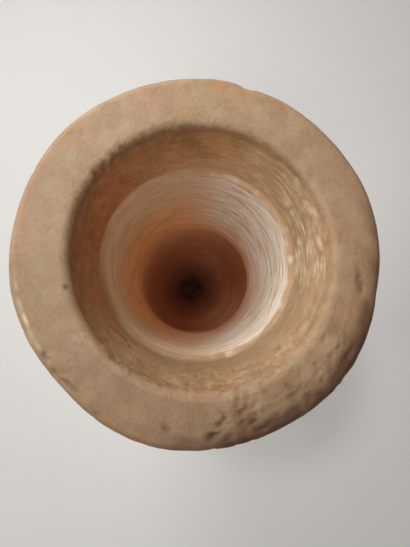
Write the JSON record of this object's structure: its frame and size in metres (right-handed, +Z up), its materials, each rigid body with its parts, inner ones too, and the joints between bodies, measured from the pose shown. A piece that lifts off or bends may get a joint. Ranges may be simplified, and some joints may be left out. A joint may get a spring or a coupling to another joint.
{
  "type": "alabaster vase",
  "caption": "Tall stone jar with a broad everted rim, waisted sides and a flat foot, bored out in stages to hold oil, unguent or the like.",
  "frame": {"origin": "centre of the flat underside, on the axis of the body", "axes": "+Z up along the axis to the mouth; +X to the right and +Y to the top in a view straight down into the mouth"},
  "size_m": [0.1185, 0.1202, 0.175],
  "materials": {
    "alabaster": "worn honed stone, faintly translucent"
  },
  "bodies": {
    "root": {"vase": "alabaster"}
  },
  "joints": []
}
